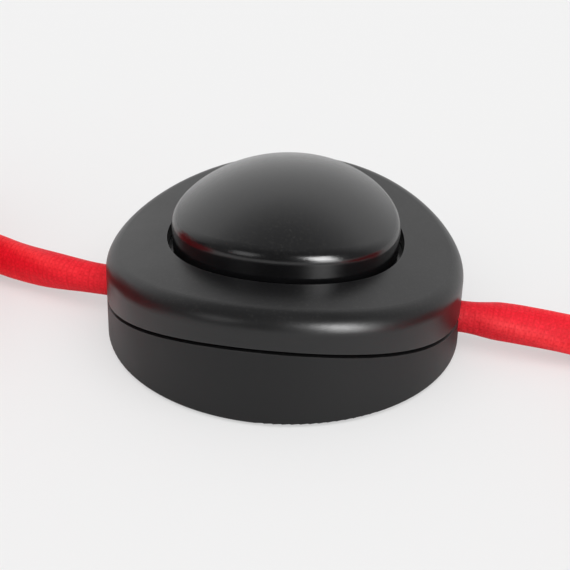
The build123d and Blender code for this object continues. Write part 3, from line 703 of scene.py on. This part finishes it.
def closing_spring(material):
    """Return spring: a copy of its CAD node with its own mesh and finish, held by the casing."""
    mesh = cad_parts["return_spring"].data.copy()
    mesh.materials.clear()
    mesh.materials.append(material)
    piece = bpy.data.objects.new("button_spring", mesh)
    bpy.context.scene.collection.objects.link(piece)
    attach(piece, "casing")
    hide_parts("return_spring")
    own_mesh(piece)


class FOOTSWITCH_OT_groups(bpy.types.Operator):
    """Build the shared effects that the finishes use"""

    bl_idname = "footswitch.groups"
    bl_label = "Shared effects"

    def execute(self, context):
        GROUPS.update(grain=grain_group(), rub=rub_group(), dust=dust_group(),
                      braid=braid_group(), metal=brushed_group())
        return {"FINISHED"}


class FOOTSWITCH_OT_casing(bpy.types.Operator):
    """Finish the base, the cover, the foot button, the pads and the cover's screws"""

    bl_idname = "footswitch.casing"
    bl_label = "Casing and button"

    def execute(self, context):
        colours = context.scene.footswitch_colours
        dress(["base_shell"], moulded_plastic(
            "Base plastic", colours.casing, roughness=0.42, grain=0.00022, shine=0.32))
        dress(["top_cover"], moulded_plastic(
            "Cover plastic", colours.casing, roughness=0.34, grain=0.00020, shine=0.45))
        dress(["foot_button"], moulded_plastic(
            "Button plastic", colours.button, roughness=0.19, grain=0.00016, shine=0.55))
        dress(["rubber_pads"], pad_rubber("Pad rubber"))
        dress(["cover_screws"], bright_metal(
            "Cover screw steel", (0.62, 0.62, 0.63), roughness=0.30, tarnish=(0.40, 0.39, 0.37)))
        return {"FINISHED"}


class FOOTSWITCH_OT_mechanism(bpy.types.Operator):
    """Finish the switch module, its spring, the contacts, the terminals and the clamps"""

    bl_idname = "footswitch.mechanism"
    bl_label = "Mechanism"

    def execute(self, context):
        dress(["switch_housing", "housing_lid", "input_cord_clamp", "output_cord_clamp"],
              moulded_plastic("Natural polyamide", (0.72, 0.69, 0.60), roughness=0.45,
                              grain=0.0003))
        dress(["plunger", "ratchet_rotor"],
              moulded_plastic("Pale acetal", (0.68, 0.70, 0.72), roughness=0.30, grain=0.0002))
        brass = bright_metal("Terminal brass", (0.80, 0.60, 0.27), roughness=0.22,
                             tarnish=(0.48, 0.30, 0.12))
        dress(["contact_bridge", "line_in_contact", "line_out_contact", "line_in_terminal",
               "line_out_terminal", "neutral_terminal", "earth_terminal"], brass)
        dress(["terminal_screws", "clamp_screws", "housing_screws"],
              bright_metal("Zinc plate", (0.66, 0.66, 0.65), roughness=0.28,
                           tarnish=(0.45, 0.44, 0.40)))
        closing_spring(bright_metal("Spring wire", (0.55, 0.55, 0.56), roughness=0.25,
                                    tarnish=(0.30, 0.29, 0.28), line=0.0002))
        return {"FINISHED"}


class FOOTSWITCH_OT_cores(bpy.types.Operator):
    """Finish the insulated cores and the ferrules"""

    bl_idname = "footswitch.cores"
    bl_label = "Cores"

    def execute(self, context):
        dress(["input_brown_core", "output_brown_core", "lamp_brown_core"],
              core_insulation("Brown insulation", (0.16, 0.055, 0.020)))
        dress(["input_blue_core", "output_blue_core", "lamp_blue_core"],
              core_insulation("Blue insulation", (0.015, 0.09, 0.42)))
        dress(["input_earth_core", "output_earth_core", "lamp_earth_core"],
              core_insulation("Earth insulation", (0.02, 0.22, 0.035),
                              stripe=(0.80, 0.62, 0.02)))
        dress(["lamp_ferrules"],
              bright_metal("Tinned copper", (0.70, 0.70, 0.68), roughness=0.25,
                           tarnish=(0.45, 0.45, 0.43), line=0.0002))
        return {"FINISHED"}


class FOOTSWITCH_OT_plug(bpy.types.Operator):
    """Finish the plug with its pins and earth strips"""

    bl_idname = "footswitch.plug"
    bl_label = "Plug"

    def execute(self, context):
        colours = context.scene.footswitch_colours
        dress(["plug_body"], moulded_plastic(
            "Plug plastic", colours.casing, roughness=0.42, grain=0.0003))
        dress(["plug_pins", "plug_earth_clips"],
              bright_metal("Nickel plate", (0.74, 0.72, 0.68), roughness=0.16,
                           tarnish=(0.52, 0.49, 0.44), line=0.0003))
        dress(["plug_screw"], bright_metal(
            "Plug screw steel", (0.62, 0.62, 0.63), roughness=0.28, tarnish=(0.42, 0.41, 0.38)))
        return {"FINISHED"}


class FOOTSWITCH_OT_flex(bpy.types.Operator):
    """Lay the red textile flex on both sides, with its spare length in two coils"""

    bl_idname = "footswitch.flex"
    bl_label = "Textile flex"

    def execute(self, context):
        sizes = context.scene.footswitch_flex
        colours = context.scene.footswitch_colours
        braid = red_braid("Red textile braid", colours.braid, colours.braid_shade,
                          colours.braid_painted_highlight)
        for side, flex in FLEXES.items():
            route, end, pieces = flex["route"], flex["end"], flex["pieces"]
            length = getattr(sizes, side + "_length")
            corners = route + coil_points(flex["coil"]) + flex["tail"]
            line = thin_out(spline_line(side, corners), COIL_REACH * MM)
            piece, measured = flex_tube(side + "_textile_flex", line, sizes, flex["swell"])
            print(piece.name, "measures", round(measured, 4), "m, faces", len(piece.data.polygons))
            piece.data.materials.append(braid)
            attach(piece, "casing")
            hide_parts(side + "_cord", side + "_coil", side + "_tail")
        return {"FINISHED"}


def direction(azimuth, elevation):
    """Unit vector towards a place: azimuth 0 is in front, at -Y, and grows to the right."""
    flat = math.cos(elevation)
    return Vector((math.sin(azimuth) * flat, -math.cos(azimuth) * flat, math.sin(elevation)))


def soft_box(name, azimuth, elevation, power):
    """Square lamp that shows only in gloss, turned to the middle of the part."""
    lamp = bpy.data.lights.new(name, "AREA")
    lamp.shape = "SQUARE"
    lamp.size = SOFT_BOX_SIDE
    lamp.energy = power
    toward = direction(azimuth, elevation)
    holder = bpy.data.objects.new(name, lamp)
    holder.location = toward * SOFT_BOX_AWAY
    holder.rotation_euler = (-toward).to_track_quat("-Z", "Y").to_euler()
    holder.visible_diffuse = False
    bpy.context.scene.collection.objects.link(holder)


def soft_sun(name, azimuth, elevation, power):
    """Wide sun that lights surfaces but doesn't show in gloss."""
    lamp = bpy.data.lights.new(name, "SUN")
    lamp.energy = power
    lamp.angle = math.radians(SUN_WIDTH_DEG)
    holder = bpy.data.objects.new(name, lamp)
    holder.rotation_euler = (-direction(azimuth, elevation)).to_track_quat("-Z", "Y").to_euler()
    holder.visible_glossy = False
    bpy.context.scene.collection.objects.link(holder)


def pale_floor(colour, background):
    """Floor whose brightness is plain to the camera for one share, so that shadows stay light."""
    material, tree, shader = new_material("Pale floor")
    shader.inputs["Base Color"].default_value = (*colour, 1.0)
    shader.inputs["Roughness"].default_value = 0.9
    shader.inputs["Specular IOR Level"].default_value = 0.0
    glow = add_node(tree, "ShaderNodeEmission", inputs={"Strength": background})
    path = add_node(tree, "ShaderNodeLightPath")
    mix = add_node(tree, "ShaderNodeMixShader")
    tree.links.new(maths(tree, "MULTIPLY", path.outputs["Is Camera Ray"], FLOOR_GLOW),
                   mix.inputs[0])
    tree.links.new(shader.outputs[0], mix.inputs[1])
    tree.links.new(glow.outputs[0], mix.inputs[2])
    tree.links.new(mix.outputs[0], tree.nodes["Material Output"].inputs["Surface"])
    return material


def studio_world(azimuth, background):
    """Even light for surfaces, and for gloss a bright backdrop behind the part."""
    world = bpy.data.worlds.new("Studio")
    world.use_nodes = True
    tree = world.node_tree
    back = tree.nodes["Background"]
    path = add_node(tree, "ShaderNodeLightPath")
    ray = add_node(tree, "ShaderNodeTexCoord").outputs["Generated"]
    far = add_node(tree, "ShaderNodeVectorMath", operation="DOT_PRODUCT")
    tree.links.new(ray, far.inputs[0])
    far.inputs[1].default_value = -direction(azimuth, 0.0)
    height = add_node(tree, "ShaderNodeSeparateXYZ")
    tree.links.new(ray, height.inputs[0])
    behind = stretch(tree, far.outputs["Value"], 0.0, 0.6)
    low = stretch(tree, height.outputs["Z"], 0.60, 0.88, to_low=1.0, to_high=0.0)
    around = stretch(tree, far.outputs["Value"], -0.5, 0.1, to_low=GLOSS_FRONT, to_high=GLOSS_BACK)
    backdrop = stretch(tree, maths(tree, "MULTIPLY", behind, low), 0.0, 1.0,
                       to_high=background - GLOSS_BACK)
    gloss = maths(tree, "ADD", around, backdrop)
    seen = maths(tree, "MAXIMUM", path.outputs["Is Camera Ray"],
                 path.outputs["Is Transmission Ray"])
    plain = stretch(tree, seen, 0.0, 1.0, to_low=PLAIN_LIGHT, to_high=background)
    rest = maths(tree, "MULTIPLY", plain,
                 maths(tree, "SUBTRACT", 1.0, path.outputs["Is Glossy Ray"]))
    shown = maths(tree, "ADD", rest,
                  maths(tree, "MULTIPLY", gloss, path.outputs["Is Glossy Ray"]))
    tree.links.new(shown, back.inputs["Strength"])
    back.inputs["Color"].default_value = (1.0, 1.0, 1.0, 1.0)
    return world


def add_camera(scene, studio):
    """Camera at the photograph's viewing angle."""
    data = bpy.data.cameras.new("Camera")
    data.lens = studio.lens
    data.sensor_width = SENSOR_WIDTH
    data.shift_x = studio.shift_across
    data.shift_y = studio.shift_up
    data.clip_start = CLIP_START
    camera = bpy.data.objects.new("Camera", data)
    toward = direction(studio.azimuth, studio.elevation)
    camera.location = Vector(CAMERA_TARGET) + toward * studio.distance
    camera.rotation_mode = "QUATERNION"
    aim = (-toward).to_track_quat("-Z", "Y")
    camera.rotation_quaternion = aim @ Quaternion((0, 0, 1), studio.roll)
    scene.collection.objects.link(camera)
    scene.camera = camera


class FOOTSWITCH_OT_stage(bpy.types.Operator):
    """Set the pale floor, the soft studio light and the camera"""

    bl_idname = "footswitch.stage"
    bl_label = "Stage"

    def execute(self, context):
        scene = context.scene
        studio = scene.footswitch_studio
        mesh = bpy.data.meshes.new("floor")
        mesh.from_pydata([(-FLOOR_REACH, -FLOOR_REACH, 0), (FLOOR_REACH, -FLOOR_REACH, 0),
                          (FLOOR_REACH, FLOOR_REACH, 0), (-FLOOR_REACH, FLOOR_REACH, 0)],
                         [], [(0, 1, 2, 3)])
        mesh.materials.append(pale_floor(scene.footswitch_colours.floor, studio.background))
        floor = bpy.data.objects.new("floor", mesh)
        scene.collection.objects.link(floor)
        scene.world = studio_world(studio.azimuth, studio.background)
        for add_lamp, lamps in ((soft_sun, SUNS), (soft_box, SOFT_BOXES)):
            for name, (across, elevation, power) in lamps.items():
                add_lamp(name, studio.azimuth + math.radians(across), math.radians(elevation),
                         power)
        add_camera(scene, studio)
        scene.view_settings.view_transform = "Standard"
        return {"FINISHED"}


class FOOTSWITCH_PT_panel(bpy.types.Panel):
    """Buttons for the steps and boxes of settings for the foot switch"""

    bl_label = "Foot Switch"
    bl_idname = "FOOTSWITCH_PT_panel"
    bl_space_type = "VIEW_3D"
    bl_region_type = "UI"
    bl_category = "Foot Switch"

    def draw(self, context):
        for operator in OPERATORS:
            self.layout.operator(operator.bl_idname)
        for settings, _ in SETTINGS:
            box = self.layout.box()
            group = getattr(context.scene, settings)
            for name in group.bl_rna.properties.keys():
                if name not in ("rna_type", "name"):
                    box.prop(group, name)


SETTINGS = (("footswitch_flex", FlexSizes), ("footswitch_colours", FinishColours),
            ("footswitch_studio", StudioSettings))
OPERATORS = (FOOTSWITCH_OT_groups, FOOTSWITCH_OT_casing, FOOTSWITCH_OT_mechanism,
             FOOTSWITCH_OT_cores, FOOTSWITCH_OT_plug, FOOTSWITCH_OT_flex, FOOTSWITCH_OT_stage)


def register():
    """Register the settings, the operators and the panel."""
    for name, group in SETTINGS:
        bpy.utils.register_class(group)
        setattr(bpy.types.Scene, name, PointerProperty(type=group))
    for item in (*OPERATORS, FOOTSWITCH_PT_panel):
        bpy.utils.register_class(item)


def unregister():
    """Take them out again."""
    for item in (FOOTSWITCH_PT_panel, *reversed(OPERATORS)):
        bpy.utils.unregister_class(item)
    for name, group in reversed(SETTINGS):
        delattr(bpy.types.Scene, name)
        bpy.utils.unregister_class(group)


def main():
    """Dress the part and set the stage."""
    register()
    bpy.ops.footswitch.groups()
    bpy.ops.footswitch.casing()
    bpy.ops.footswitch.mechanism()
    bpy.ops.footswitch.cores()
    bpy.ops.footswitch.plug()
    bpy.ops.footswitch.flex()
    bpy.ops.footswitch.stage()


if __name__ == "__main__":
    main()
